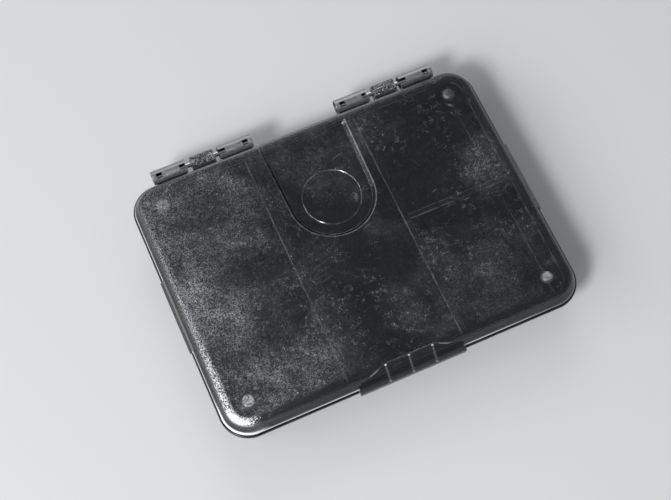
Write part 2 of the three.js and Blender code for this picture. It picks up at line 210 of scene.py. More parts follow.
# %% [markdown]
# The lid is injection-moulded smoked polycarbonate. It is clear enough to show the dividers below
# it, and soft enough that a few months in a pocket leave it covered in fine scuffs. Light passes
# straight through the clean parts, so those are mostly transparent; a scuff scatters light, so it
# turns paler, rougher and more opaque. Every pattern below is a number over the surface, mostly from
# 0 to 1. Noises and distances are eased into that range, and plain arithmetic layers them. The kinds
# of node that this takes are named once, as plain data for the function that adds a node.

# %% Helpers for patterns
EASED = ("ShaderNodeMapRange", {"interpolation_type": "SMOOTHSTEP"})
CLOUDS = ("ShaderNodeTexNoise", {})
MIXED = ("ShaderNodeMix", {"data_type": "RGBA"})  # its colours are inputs 6 and 7, and output 2
VECTOR = "ShaderNodeVectorMath"
TIMES, PLUS, MINUS, MOST, LEAST, UNSIGNED = [("ShaderNodeMath", {"operation": how}) for how in (
    "MULTIPLY", "ADD", "SUBTRACT", "MAXIMUM", "MINIMUM", "ABSOLUTE")]


def sized(place, size, **shape):
    """What a noise is given for features of about a size in millimetres."""
    return {"Vector": place, "Scale": 1 / (size * MM), "Detail": 2.0, **shape}


def layered(tree, step, *patterns):
    """Patterns put together by a step, from left to right. One given as a tuple is eased first: a
    value, the two numbers that it runs between, and what those become, if that isn't 0 and 1."""
    eased = [add(tree, *EASED, one) if isinstance(one, tuple) else one for one in patterns]
    total = eased[0]
    for one in eased[1:]:
        total = add(tree, *step, (total, one))
    return total


def level_line(tree, pattern, width, level=0.5):
    """1 where a pattern has some level, falling to 0 at a width on both sides: a thin line."""
    off = add(tree, *UNSIGNED, (layered(tree, MINUS, pattern, level),))
    return add(tree, *EASED, (off, 0, width, 1, 0))


# %% [markdown]
# Four kinds of wear lie over each other on the flat. A haze of specks with fine curls among them
# comes from grit. It is heaped on the left, which also paints in the light that the left lamp
# scatters from scuffs. Bright dots are strewn through it. Short worm-like marks and a few long
# scratches come from single hard grains. A level line of a noise wanders as such a mark does, and
# noise that is drawn out thirty times in one direction gives level lines that run nearly straight.
# A fifth pattern is a painted highlight on the left shoulder and front left corner, in stipple grains.

# %% Noises on the lid
LID_NOISES = {  # mm across a feature, and how its noise is shaped. A pixel of the picture is 0.3 mm.
    "patches": (26, {"Detail": 4.0}),
    "broad": (20, {"Detail": 3.0}),
    "groups": (11, {"Detail": 3.0}),
    "patchy": (9, {"Detail": 7.0, "Roughness": 0.7}),
    "edge_breaks": (3, {"Detail": 4.0, "Roughness": 0.65}),
    "mark_breaks": (2.1, {"Detail": 1.0}),
    "marks": (1.7, {"Detail": 3.0, "Roughness": 0.6, "Distortion": 0.8}),
    "pin_glints": (1.5, {}),
    "curl_breaks": (1.3, {"Detail": 1.0}),
    "crinkles": (1.1, {"Detail": 3.0, "Distortion": 1.2}),
    "curls": (0.9, {"Distortion": 1.0}),
    "frost": (0.6, {}),
    "dots": (0.42, {"Detail": 1.0}),
    "stipple": (0.36, {"Roughness": 0.6}),  # finer on the real lid, and drawn as coarse as it shows
    "specks": (0.34, {"Roughness": 0.7}),  # the same
}
SCRATCHES = ((24, 3.1), (-41, 7.7), (66, 5.3), (-78, 1.9))  # degrees, and what sets each apart
SCRATCH_DRAWN_OUT = 30

# %% Wear and painted highlights on the lid
ABOVE_CEILING = (CEILING_Z + 0.05 * MM, CEILING_Z + 0.2 * MM)  # height at which outer faces begin
OUTSIDE_WALL = (2.6 * MM, 2.4 * MM)  # inset at which they do, at the skirt


def haze_of_specks(tree, at, worn):
    """Specks too small to tell apart, with fine curls among them, thicker in some places."""
    curls = layered(tree, TIMES, level_line(tree, at.curls, 0.035), (at.curl_breaks, 0.45, 0.57))
    fine = layered(tree, MOST, (at.specks, 0.4, 0.7, 0.18, 0.9), curls)
    return layered(tree, TIMES, fine, (at.broad, 0.32, 0.66, 0.5, 1.0),
                   (at.patchy, 0.32, 0.68, 0.45, 1.0), worn)


def painted_shoulder_highlight(tree, at):
    """A painted highlight in grains along the left shoulder, brightest round the front left corner and down
    its skirt.
    """
    band = layered(tree, TIMES, (at.inset, 4.9 * MM, 3.7 * MM), (at.inset, 1.8 * MM, 2.8 * MM))
    left = layered(tree, TIMES, band, (at.stipple, 0.44, 0.6), (at.x, -47 * MM, -51 * MM),
                   (at.y, 36 * MM, -36 * MM, 0.16, 1.0))
    near = layered(tree, TIMES, (at.x, -45 * MM, -53.5 * MM), (at.y, -29 * MM, -38 * MM))
    more_grains = layered(tree, PLUS, at.stipple, layered(tree, TIMES, near, 0.3))
    corner = layered(tree, TIMES, band, (near, 0, 0.25), (more_grains, 0.56, 0.78))
    skirt = layered(tree, TIMES, (at.x, -44 * MM, -50 * MM), (at.y, -27 * MM, -36 * MM),
                    (at.stipple, 0.3, 0.55, 0.6, 1.0),
                    (at.z, LID_FOOT + 1.5 * MM, LID_FOOT + 0.7 * MM), (at.inset, 2.2 * MM, 1.6 * MM))
    return layered(tree, MOST, left, corner, skirt)


def short_marks(tree, at, worn):
    """Curled marks a few millimetres long, which lie in loose groups."""
    return layered(tree, TIMES, level_line(tree, at.marks, 0.011), (at.mark_breaks, 0.46, 0.58),
                   (at.groups, 0.4, 0.62, 0.3, 1.0), (worn, 0.1, 0.9, 0.7, 1.0))


def long_scratches(tree, place):
    """Nearly straight lines in a few directions, each broken up by a noise of its own."""
    lines = []
    for degrees, seed in SCRATCHES:
        drawn = add(tree, "ShaderNodeMapping", {"vector_type": "TEXTURE"}, {
            "Vector": place, "Rotation": (0, 0, math.radians(degrees)),
            "Location": (seed, seed, 0), "Scale": (1, SCRATCH_DRAWN_OUT, 1)})
        line = level_line(tree, add(tree, *CLOUDS, sized(drawn, 3.2, Detail=0.0)), 0.004)
        breaks = add(tree, *CLOUDS, sized(place, 5 + seed, Detail=1.0))
        lines.append(layered(tree, TIMES, line, (breaks, 0.6, 0.7)))
    return layered(tree, MOST, *lines)


def on_outside(tree, at):
    """1 on the lid's outer faces and 0 on its inner ones."""
    return layered(tree, MOST, (at.z, *ABOVE_CEILING), (at.inset, *OUTSIDE_WALL))


def lid_scuffs_and_left_light(tree, at):
    """How scuffed the lid is: most on its left, which also paints in the left lamp's light scattered by
    the scuffs, less in the sheltered tongue, little at its edges.
    """
    # the scuffs are real, and heaping them to the left also paints in light scattered from the left lamp
    left = (at.x, 0, -20 * MM, 0.13, 0.48)
    far_left = (at.x, -30 * MM, -46 * MM, 0.0, 0.7)
    back_left = layered(tree, TIMES, (at.x, -19 * MM, -27 * MM), (at.x, -43 * MM, -35 * MM),
                        (at.y, 2 * MM, 14 * MM), 0.34)
    worn = layered(tree, PLUS, left, far_left, back_left, (at.patches, 0.48, 0.66, 0.0, 0.42))
    dots = layered(tree, TIMES, (at.dots, 0.64, 0.78), (worn, 0, 0.9, 0.45, 1.0))
    kinds = ((haze_of_specks(tree, at, worn), 0.7), (dots, 0.32), (short_marks(tree, at, worn), 0.8),
             (long_scratches(tree, at.place), 0.36))
    total = layered(tree, PLUS, *[layered(tree, TIMES, kind, strength) for kind, strength in kinds])
    return layered(tree, TIMES, total, (at.z, LID_TOP - 0.9 * MM, LID_TOP - 0.3 * MM, 0.6, 1.0),
                   on_outside(tree, at), (at.inset, 3.3 * MM, 5.0 * MM, 0.12, 1.0))


# %% [markdown]
# The mould left its own texture. The rounded shoulder is stippled, so that it spreads a highlight
# into a band of fine grains instead of a line. The cut edge at the foot of the skirt gets a painted
# highlight, a thin pale line that stands for the light running inside the plastic. Thick places, such as
# the knuckles and the overhanging lips, let less light through than the wall does. Both need to know
# how far a point lies in from the rim's rounded outline, which is a short sum on its coordinates.
# The lid's latch and sunken tongue get painted highlights along their edges, so their sizes come here too.

# %% Sizes that the lid's finish shares with its shape
LATCH_TOP_HALF = 8.4 * MM
LATCH_FOOT_HALF = 17 * MM
LATCH_SPREAD_DROP = 2.5 * MM  # below the lid's top, where the outline is widest
LATCH_TOP_INSET = 3.7 * MM
TONGUE_BACK_HALF = 14.4 * MM
TONGUE_TIP_RADIUS = 13.6 * MM
TONGUE_TIP_Y = 15.9 * MM
TONGUE_SLOPE = 1.1 * MM
RING_RADIUS = 9.1 * MM
DISC_INSET = 9.3 * MM  # disc centres, from the rim's edges

# %% Where on the lid a point lies


def from_rim(tree, place):
    """The distance in from the rim's outline, as far as its corner radius."""
    flat = add(tree, VECTOR, {"operation": "MULTIPLY"}, (place, (1, 1, 0)))
    quarter = add(tree, VECTOR, {"operation": "ABSOLUTE"}, (flat,))
    past = add(tree, VECTOR, {"operation": "SUBTRACT"}, (quarter, (RIM_X - CORNER, RIM_Y - CORNER, 0)))
    past = add(tree, VECTOR, {"operation": "MAXIMUM"}, (past, (0, 0, 0)))
    length = add(tree, VECTOR, {"operation": "LENGTH"}, (past,))
    return layered(tree, MINUS, CORNER, length.outputs["Value"])


def distance_to(tree, place, use, centre):
    """The distance to a centre, counting only the axes whose use is 1, and all of them unsigned."""
    quarter = add(tree, VECTOR, {"operation": "ABSOLUTE"}, (place,))
    flat = add(tree, VECTOR, {"operation": "MULTIPLY"}, (quarter, use))
    return add(tree, VECTOR, {"operation": "DISTANCE"}, (flat, centre)).outputs["Value"]


def spot_on_lid(tree):
    """What the finish knows of a point: its place, its inset from the rim, and each noise there."""
    place = add(tree, "ShaderNodeTexCoord").outputs["Object"]
    x, y, z = add(tree, "ShaderNodeSeparateXYZ", None, (place,)).outputs
    noises = {name: add(tree, *CLOUDS, sized(place, size, **shape))
              for name, (size, shape) in LID_NOISES.items()}
    return SimpleNamespace(place=place, x=x, y=y, z=z, inset=from_rim(tree, place), **noises)


# %% Painted highlights along edges and on the knuckles
def tongue_edge_highlights(tree, at):
    """Painted highlight lines round the tongue's rim and floor, which are capsules that widen a little, and
    round the ring.
    """
    ahead = layered(tree, MINUS, at.y, TONGUE_TIP_Y)
    spine = add(tree, "ShaderNodeCombineXYZ", None, (at.x, layered(tree, LEAST, ahead, 0.0)))
    from_spine = add(tree, VECTOR, {"operation": "LENGTH"}, (spine,)).outputs["Value"]
    widening = (TONGUE_BACK_HALF - TONGUE_TIP_RADIUS) / (RIM_Y - TONGUE_TIP_Y)
    wider = layered(tree, TIMES, layered(tree, MOST, ahead, 0.0), widening)
    off = layered(tree, MINUS, from_spine, wider)
    flat = add(tree, "ShaderNodeCombineXYZ", None, (at.x, ahead))
    from_ring = add(tree, VECTOR, {"operation": "LENGTH"}, (flat,)).outputs["Value"]
    lines = ((off, 0.3 * MM, TONGUE_TIP_RADIUS, 0.7),
             (off, 0.25 * MM, TONGUE_TIP_RADIUS - TONGUE_SLOPE, 0.3),
             (from_ring, 0.4 * MM, RING_RADIUS, 0.45))
    return layered(tree, MOST, *[layered(tree, TIMES, level_line(tree, *line), strength)
                                 for *line, strength in lines])


def thumb_edge_highlights(tree, at):
    """Painted highlight lines along the top and the slanting sides of the thumb face."""
    across = add(tree, *UNSIGNED, (at.x,))
    spread = (LATCH_FOOT_HALF - LATCH_TOP_HALF) / LATCH_SPREAD_DROP
    slanted = layered(tree, PLUS, across, layered(tree, TIMES, at.z, spread))
    side = layered(tree, TIMES,
                   level_line(tree, slanted, 0.3 * MM * spread, LATCH_TOP_HALF + spread * LID_TOP),
                   (at.y, -RIM_Y + 4.8 * MM, -RIM_Y + 4.4 * MM),
                   (at.z, LID_TOP - LATCH_SPREAD_DROP, LID_TOP - 2.2 * MM),
                   (at.z, LID_TOP - 0.1 * MM, LID_TOP - 0.4 * MM))
    top = layered(tree, TIMES, level_line(tree, at.y, 0.25 * MM, -RIM_Y + LATCH_TOP_INSET),
                  (across, LATCH_TOP_HALF + 0.2 * MM, LATCH_TOP_HALF - 0.2 * MM), 0.5)
    return layered(tree, MOST, side, top)


def painted_foot_highlight(tree, at):
    """A painted highlight along the cut edge at the foot of the skirt, which the latch hasn't got. It fades
    to the right, away from the lamp.
    """
    across = add(tree, *UNSIGNED, (at.x,))
    beside_latch = layered(tree, MOST, (across, LATCH_FOOT_HALF - FIT, LATCH_FOOT_HALF),
                           (at.y, -RIM_Y + CORNER, -RIM_Y / 2))
    return layered(tree, TIMES, (at.inset, 1.1 * MM, 0.9 * MM), (at.inset, 0.2 * MM, 0.35 * MM),
                   (at.z, LID_FOOT + 0.6 * MM, LID_FOOT + 0.35 * MM),
                   (at.z, LID_FOOT - 0.2 * MM, LID_FOOT - 0.02 * MM),
                   (at.x, 48 * MM, 20 * MM, 0.25, 0.9), beside_latch)


def knuckle_marks_and_pin_glint(tree, at):
    """A knuckle is crinkled by sink marks, and a painted glint along it stands for the bright pin showing
    through.
    """
    painted_pin_glint = layered(tree, TIMES, level_line(tree, at.y, 0.25 * MM, AXIS_Y),
                       (at.pin_glints, 0.4, 0.6, 0.1, 0.8))
    return layered(tree, TIMES, layered(tree, MOST, level_line(tree, at.crinkles, 0.035), painted_pin_glint),
                   (at.y, RIM_Y, RIM_Y + 0.3 * MM),
                   (at.z, AXIS_Z - 1.2 * MM, AXIS_Z + 1.3 * MM, 0.12, 0.9))


# %% How clear the lid is
STIPPLE_CLOUD = 0.56  # how much more opaque the stipple makes the worn left shoulder
OPAQUE_FACE = 0.36  # how opaque one clean face is; a ray through the wall meets two
OPAQUE_INSIDE = 0.16
OPAQUE_SHOULDER = 0.5  # light runs a long way inside the rounded shoulder and the skirt
OPAQUE_WINDOW = 0.06  # over a disc, where the mould is polished
OPAQUE_KNUCKLE = 0.82
OPAQUE_LIP = 0.84


def lid_opacity(tree, at):
    """How opaque the clean plastic is."""
    outer = add(tree, *EASED, (at.inset, 4.4 * MM, 3.4 * MM, OPAQUE_FACE, OPAQUE_SHOULDER))
    wall = layered(tree, MOST, (at.z, *ABOVE_CEILING, OPAQUE_INSIDE, outer),
                   (at.inset, *OUTSIDE_WALL, 0.0, OPAQUE_SHOULDER))
    behind = add(tree, *EASED, (at.y, RIM_Y - 0.4 * MM, RIM_Y + 0.2 * MM))
    before = layered(tree, MINUS, 1.0, behind)
    from_axis = distance_to(tree, at.place, (0, 1, 1), (0, AXIS_Y, AXIS_Z))
    knuckle = layered(tree, TIMES, behind, (from_axis, 1.2 * MM, 1.3 * MM, 0, OPAQUE_KNUCKLE))
    lip = layered(tree, TIMES, (at.z, LID_FOOT - 0.02 * MM, LID_FOOT - 0.2 * MM, 0, OPAQUE_LIP), before)
    return layered(tree, MOST, layered(tree, TIMES, wall, before), knuckle, lip)


# %% Smoked lid finish
def smoked_lid():
    """The whole finish: how pale each spot is, with real scuffs and painted highlights, how opaque, how
    rough and how rough to the touch.
    """
    material, tree = new_finish("smoked_polycarbonate_scuffed")
    at = spot_on_lid(tree)
    shoulder = layered(tree, TIMES, (at.inset, 4.9 * MM, 3.9 * MM), (at.inset, 1.3 * MM, 1.9 * MM))
    # a painted highlight along the foot of the skirt
    foot = painted_foot_highlight(tree, at)
    # the mould is polished over the discs, and less so over the two at the back
    from_disc = distance_to(tree, at.place, (1, 1, 0), (RIM_X - DISC_INSET, RIM_Y - DISC_INSET, 0))
    window = layered(tree, TIMES, (from_disc, 1.9 * MM, 1.6 * MM), (at.y, 5 * MM, -5 * MM, 0.3, 1.0))
    # painted highlight lines round the tongue, the ring and the thumb face
    edges = layered(tree, MOST, tongue_edge_highlights(tree, at), thumb_edge_highlights(tree, at))
    edges = layered(tree, TIMES, edges, (at.edge_breaks, 0.36, 0.64, 0.2, 0.55), (at.z, *ABOVE_CEILING))
    # the grip ribs' painted highlight
    rubbed = add(tree, "ShaderNodeAttribute", {"attribute_name": "rubbed"}).outputs["Fac"]

    # a painted highlight over the front left disc, drawn as a pale frost
    frost = layered(tree, TIMES, window, (at.x, -10 * MM, -40 * MM), (at.frost, 0.36, 0.64, 0.25, 0.95))
    wear_and_painted_light = layered(tree, PLUS, layered(tree, TIMES, lid_scuffs_and_left_light(tree, at), (window, 0, 1, 1.0, 0.6)), frost)
    # a painted highlight in grains on the left shoulder and the front left corner
    painted_shoulder_grains = layered(tree, TIMES, painted_shoulder_highlight(tree, at), on_outside(tree, at))
    # the paleness adds the real scuffs to the painted highlights
    pale = layered(tree, PLUS, wear_and_painted_light, painted_shoulder_grains, foot, edges, knuckle_marks_and_pin_glint(tree, at), rubbed)
    pale = layered(tree, LEAST, pale, 1.0)
    # the brightest painted highlight: the bloom at the front left corner, and part of the foot line
    painted_corner_bloom = layered(tree, MOST, layered(tree, TIMES, painted_shoulder_grains, (at.y, -8 * MM, -36 * MM)),
                      layered(tree, TIMES, foot, 0.6))
    tint = add(tree, *MIXED, {0: pale, 6: colour("0f1012"), 7: colour("b6babf")}).outputs[2]
    tint = add(tree, *MIXED, {0: painted_corner_bloom, 6: tint, 7: colour("f4f5f7")}).outputs[2]
    clean = layered(tree, LEAST, lid_opacity(tree, at), (window, 0, 1, 1.0, OPAQUE_WINDOW))
    cloudy = layered(tree, TIMES, shoulder, STIPPLE_CLOUD, (at.stipple, 0.4, 0.6, 0.15, 1.0),
                     (at.x, -34 * MM, -48 * MM, 0.1, 1.0))
    opacity = layered(tree, LEAST, layered(tree, PLUS, clean, pale, cloudy), 1.0)

    # scuffs are dull on the flat, but on the shoulder the tops of the grains are worn smooth
    dull = layered(tree, TIMES, (pale, 0, 0.5, 0.14, 0.5), (shoulder, 0, 1, 1.0, 0.4))
    roughness = layered(tree, MOST, dull, layered(tree, TIMES, shoulder, 0.18))
    relief = add(tree, "ShaderNodeBump", None, {
        "Strength": 1.0, "Distance": 0.14 * MM, "Height": layered(tree, TIMES, shoulder, at.stipple)})
    relief = add(tree, "ShaderNodeBump", None, {
        "Strength": 0.25, "Distance": 0.03 * MM, "Height": wear_and_painted_light, "Normal": relief})

    # the see-through share thins the shine with the rest, so the shine is set to twice its strength
    return coat(material, tree, add(tree, "ShaderNodeBsdfPrincipled", None, {
        "Base Color": tint, "Roughness": roughness, "Alpha": opacity, "Normal": relief,
        "IOR": 1.58, "Specular IOR Level": 1.0}))


SMOKED = smoked_lid()

# %% [markdown]
# The tray and its dividers are black ABS from the same mould shop. ABS takes an even, slightly soft
# shine from a polished mould; handling dulls it in faint clouds. Both edges along the top of a
# divider carry a painted highlight, a paler line that is broken up here and there.

# %% Black tray finish
def black_tray():
    material, tree = new_finish("black_abs_moulded")
    place = add(tree, "ShaderNodeTexCoord").outputs["Object"]
    clouds = add(tree, *CLOUDS, sized(place, 11, Detail=4.0))
    grain = add(tree, *CLOUDS, sized(place, 0.5))
    breaks = add(tree, *CLOUDS, sized(place, 4, Detail=4.0))
    height = add(tree, "ShaderNodeSeparateXYZ", None, (place,)).outputs["Z"]
    # a painted highlight along both edges of the top
    painted_edge_highlight = layered(tree, TIMES, (height, COPING_TOP - 0.65 * MM, COPING_TOP - 0.4 * MM),
                   (height, COPING_TOP - 0.06 * MM, COPING_TOP - 0.2 * MM),
                   (breaks, 0.36, 0.64, 0.08, 0.6))
    plain = add(tree, *MIXED, {
        0: add(tree, *EASED, (clouds, 0.35, 0.7)), 6: colour("101112"), 7: colour("17181a")}).outputs[2]
    tint = add(tree, *MIXED, {0: painted_edge_highlight, 6: plain, 7: colour("9a9da1")}).outputs[2]
    relief = add(tree, "ShaderNodeBump", None, {"Strength": 0.2, "Distance": 0.02 * MM, "Height": grain})
    return coat(material, tree, add(tree, "ShaderNodeBsdfPrincipled", None, {
        "Base Color": tint, "Roughness": add(tree, *EASED, (clouds, 0.35, 0.7, 0.22, 0.36)),
        "Normal": relief, "IOR": 1.53}))


BLACK = black_tray()

# %% [markdown]
# The hinge sleeves are rolled stainless strip with a satin finish: mid grey and a little mottled,
# with marks that run along the tube. The pins are brighter, drawn steel. The corner discs are
# nickel-plated with coarse streaks, and domed, so that each one shows a bright crescent.

# %% Metal finishes
ROUGHNESS_SPREAD = 0.06


def steel(name, dark, light, roughness, grain_mm, drawn_out):
    """Steel whose marks are drawn out along X by a factor, and shade between two tones."""
    material, tree = new_finish(name)
    place = add(tree, "ShaderNodeTexCoord").outputs["Object"]
    drawn = add(tree, "ShaderNodeMapping", None, {"Vector": place, "Scale": (1 / drawn_out, 1, 1)})
    marks = add(tree, *CLOUDS, sized(drawn, grain_mm, Detail=3.0))
    tone = add(tree, *MIXED, {
        0: add(tree, *EASED, (marks, 0.34, 0.66)), 6: colour(dark), 7: colour(light)}).outputs[2]
    rough = add(tree, *EASED, (
        marks, 0.3, 0.7, roughness - ROUGHNESS_SPREAD, roughness + ROUGHNESS_SPREAD))
    relief = add(tree, "ShaderNodeBump", None, {"Strength": 0.3, "Distance": 0.01 * MM, "Height": marks})
    return coat(material, tree, add(tree, "ShaderNodeBsdfPrincipled", None, {
        "Base Color": tone, "Metallic": 1.0, "Roughness": rough, "Normal": relief}))


SATIN = steel("stainless_strip_satin", "9da1a1", "b0b3b3", 0.48, 0.3, 4)
BRIGHT = steel("drawn_steel_bright", "c6c8ca", "dcdee0", 0.2, 0.2, 20)
STREAKED = steel("nickel_plate_streaked", "b4b6b8", "f6f7f8", 0.56, 0.6, 4)

# %% [markdown]
# Most pieces are skins: a row of closed loops joined by quads and closed at both ends. A loop is the
# box's rounded outline moved in by some inset, and a profile of insets and heights is then all that
# a tray or a lid needs. Cuts and joins are Boolean modifiers, turned into plain meshes at once.

# %% Helpers for shapes
CORNER_STEPS = 20
OVERCUT = 1 * MM  # how far a cutter runs past the face that it opens
SHARP = math.radians(32)  # edges that turn more than this stay crisp
SLIVER = 0.002 * MM  # shorter edges than this are dissolved
QUARTERS = ((1, 1), (-1, 1), (-1, -1), (1, -1))  # the way to each corner, in the order of its angle


def outline(inset, z):
    """The rim's plan outline, moved in by an inset, as a loop of points at a height."""
    radius = CORNER - inset
    points = []
    for quarter, (sx, sy) in enumerate(QUARTERS):
        for i in range(CORNER_STEPS + 1):
            angle = (quarter + i / CORNER_STEPS) * math.pi / 2
            points.append((sx * (RIM_X - CORNER) + radius * math.cos(angle),
                           sy * (RIM_Y - CORNER) + radius * math.sin(angle), z))
    return points


def arc(centre, radius, start, end, steps):
    """Points of an arc, in degrees, in a plane whose two coordinates are returned."""
    turns = [math.radians(start + (end - start) * i / steps) for i in range(steps + 1)]
    return [(centre[0] + radius * math.cos(t), centre[1] + radius * math.sin(t)) for t in turns]


def profile_arc(inset, z, radius, start, end, steps):
    """The same as insets and heights, with insets growing towards the middle of the box."""
    return [(2 * inset - a, b) for a, b in arc((inset, z), radius, start, end, steps)]


def solid(shape):
    """A bmesh as an object, which gets its name with its finish."""
    bmesh.ops.recalc_face_normals(shape, faces=shape.faces)
    mesh = bpy.data.meshes.new("solid")
    shape.to_mesh(mesh)
    shape.free()
    return new_object("solid", mesh)


def skin(loops):
    """A closed skin over loops of equal length."""
    shape = bmesh.new()
    rows = [[shape.verts.new(point) for point in loop] for loop in loops]
    for lower, upper in zip(rows, rows[1:]):
        for i in range(len(lower)):
            j = (i + 1) % len(lower)
            shape.faces.new((lower[i], lower[j], upper[j], upper[i]))
    shape.faces.new(rows[0][::-1])
    shape.faces.new(rows[-1])
    return solid(shape)


def shell(profile, loop=outline):
    """A skin over the loops that a profile of insets and heights gives."""
    return skin([loop(inset, z) for inset, z in profile])


def prism(points, axis, start, end):
    """An outline drawn in the plane across an axis ('X' or 'Y' or 'Z'), pulled along it."""
    places = {"X": lambda a, b, t: (t, a, b), "Y": lambda a, b, t: (a, t, b), "Z": lambda a, b, t: (a, b, t)}
    return skin([[places[axis](a, b, t) for a, b in points] for t in (start, end)])


def block(low, high):
    points = [(low[0], low[1]), (high[0], low[1]), (high[0], high[1]), (low[0], high[1])]
    return prism(points, "Z", low[2], high[2])


def turned(start, direction, profile, steps=48):
    """A round piece along a direction, from pairs of distance from its start and radius."""
    along = Vector(direction).normalized()
    across = along.orthogonal().normalized()
    side = along.cross(across)
    loops = [[Vector(start) + along * distance + (across * a + side * b)
              for a, b in arc((0, 0), radius, 0, 360 - 360 / steps, steps - 1)]
             for distance, radius in profile]
    return skin(loops)


def rod(radius, start, end):
    """A cylinder on the hinge's axis."""
    return turned((start, AXIS_Y, AXIS_Z), (1, 0, 0), [(0, radius), (end - start, radius)])


# %% Helpers for joining, cutting and finishing
def settle(piece):
    """Replaces a piece's mesh by what its modifiers make of it."""
    graph = bpy.context.evaluated_depsgraph_get()
    mesh = bpy.data.meshes.new_from_object(piece.evaluated_get(graph), depsgraph=graph)
    piece.modifiers.clear()
    piece.data = mesh
    return piece


def combine(piece, how, *tools):
    """Joins tools to a piece, cuts them from it or keeps what it shares with them."""
    for tool in tools:
        step = piece.modifiers.new(how, "BOOLEAN")
        step.operation = how
        step.solver = "MANIFOLD"
        step.object = tool
        settle(piece)
        bpy.data.objects.remove(tool)
    return piece


def soften(piece, width):
    """Rounds a simple piece's edges."""
    step = piece.modifiers.new("soften", "BEVEL")
    step.width = width
    step.segments = 2
    step.limit_method = "ANGLE"
    step.angle_limit = SHARP
    return settle(piece)


def without_slivers(piece):
    """Takes out the faces of no width that a Boolean can leave along a cut."""
    shape = bmesh.new()
    shape.from_mesh(piece.data)
    bmesh.ops.dissolve_degenerate(shape, dist=SLIVER, edges=shape.edges)
    shape.to_mesh(piece.data)
    shape.free()


def finish(piece, name, body, slot_name, material, *nodes):
    """Smooths a piece's shading, gives it its finish, and hangs it on its body for its nodes."""
    without_slivers(piece)
    piece.name = name
    piece.data.name = name
    piece.data.materials.clear()
    piece.data.materials.append(material)
    for face in piece.data.polygons:
        face.use_smooth = True
    piece.data.set_sharp_from_angle(angle=SHARP)
    step = piece.modifiers.new("even_shading", "WEIGHTED_NORMAL")
    step.keep_sharp = True
    settle(piece)
    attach(piece, body)
    if nodes:
        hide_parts(*nodes)
    print(name, "has", len(piece.data.polygons), "faces")


# %% [markdown]
# The lid starts as two skins, its outside and its hollow. The outside has a steep skirt that leans
# in, and a soft shoulder that meets the flat top without an edge.

# %% Lid sizes and its outside
LID_SET_IN = 0.45 * MM  # skirt inside the edge of the rim
SKIRT_LEAN = 24  # degrees from upright
SHOULDER = 2.6 * MM
CEILING_ROUND = 1.1 * MM
HOLLOW_INSET = 2.7 * MM
SUPPORT = 0.4 * MM  # a loop just inside a flat face keeps its shading flat

lean = math.radians(SKIRT_LEAN)
shoulder_z = LID_TOP - SHOULDER
skirt_rise = shoulder_z + SHOULDER * math.sin(lean) - LID_FOOT
flat_inset = LID_SET_IN + skirt_rise * math.tan(lean) + SHOULDER * math.cos(lean)
foot_inset = LID_SET_IN + EDGE * (math.tan(lean) + 1 / math.cos(lean))
print("the lid's flat begins, mm in from the rim:", round(flat_inset / MM, 2))


def lid_outside():
    return shell([
        (foot_inset + SUPPORT, LID_FOOT),
        *profile_arc(foot_inset, LID_FOOT + EDGE, EDGE, -90, SKIRT_LEAN, 4),
        *profile_arc(flat_inset, shoulder_z, SHOULDER, SKIRT_LEAN, 90, 14),
        (flat_inset + SUPPORT, LID_TOP),
    ])


def lid_hollow():
    return shell([
        (HOLLOW_INSET, LID_FOOT - OVERCUT),
        *profile_arc(HOLLOW_INSET + CEILING_ROUND, CEILING_Z - CEILING_ROUND, CEILING_ROUND, 0, 90, 8),
        (HOLLOW_INSET + CEILING_ROUND + SUPPORT, CEILING_Z),
    ])


# %% [markdown]
# The front latch is a slanted thumb face. Inside its outline the shoulder is cut back to the slant,
# and below it the slant runs on into a lip that hangs over the rim. The outline widens from the
# lid's flat top down to the skirt.

# %% Latch
LATCH_FACE_DROP = 4.8 * MM
LIP_ROUND = 0.35 * MM
LATCH_CORNER = 1.1 * MM  # rounding of the outline's lower corners
lip_face = lid_low.y
lip_foot = lid_low.z
slant_top_y = -RIM_Y + LATCH_TOP_INSET


def latch_zone():
    """The prism, pulled along Y, inside which the slant replaces the shoulder."""
    side = [
        (LATCH_FOOT_HALF, lip_foot - OVERCUT),
        (LATCH_FOOT_HALF, LID_TOP - LATCH_SPREAD_DROP - LATCH_CORNER),
        (LATCH_FOOT_HALF - LATCH_CORNER / 4, LID_TOP - LATCH_SPREAD_DROP - LATCH_CORNER / 4),
        (LATCH_FOOT_HALF - LATCH_CORNER, LID_TOP - LATCH_SPREAD_DROP + LATCH_CORNER / 4),
        (LATCH_TOP_HALF + LATCH_CORNER / 2, LID_TOP - LATCH_CORNER / 6),
        (LATCH_TOP_HALF - LATCH_CORNER / 2, LID_TOP + OVERCUT),
    ]
    points = [*side, *[(-x, z) for x, z in reversed(side)]]
    return prism(points, "Y", lip_face - OVERCUT, -RIM_Y + flat_inset)


def latch_form():
    """The slant and the lip in section, pulled along X over more than the zone's width."""
    inner_y = -RIM_Y + flat_inset + OVERCUT
    lip_inner = -RIM_Y + LID_SET_IN
    points = [
        (inner_y, LID_FOOT), (inner_y, LID_TOP), (slant_top_y, LID_TOP),
        (lip_face, LID_TOP - LATCH_FACE_DROP),
        *arc((lip_face + LIP_ROUND, lip_foot + LIP_ROUND), LIP_ROUND, 180, 270, 6),
        (lip_inner, lip_foot), (lip_inner, LID_FOOT),
    ]
    half = LATCH_FOOT_HALF + OVERCUT
    return prism(points, "X", -half, half)


def with_latch(lid):
    waste = combine(latch_zone(), "DIFFERENCE", latch_form())
    face = combine(latch_zone(), "INTERSECT", latch_form())
    return combine(combine(lid, "DIFFERENCE", waste), "UNION", face)


# %% [markdown]
# A sunken tongue runs in from the hinge side and ends in a half circle. It holds a plain ring
# groove. The wall of the tongue is a gentle slope, rounded over at the top and filleted at the
# floor, so the cutter carries those roundings.

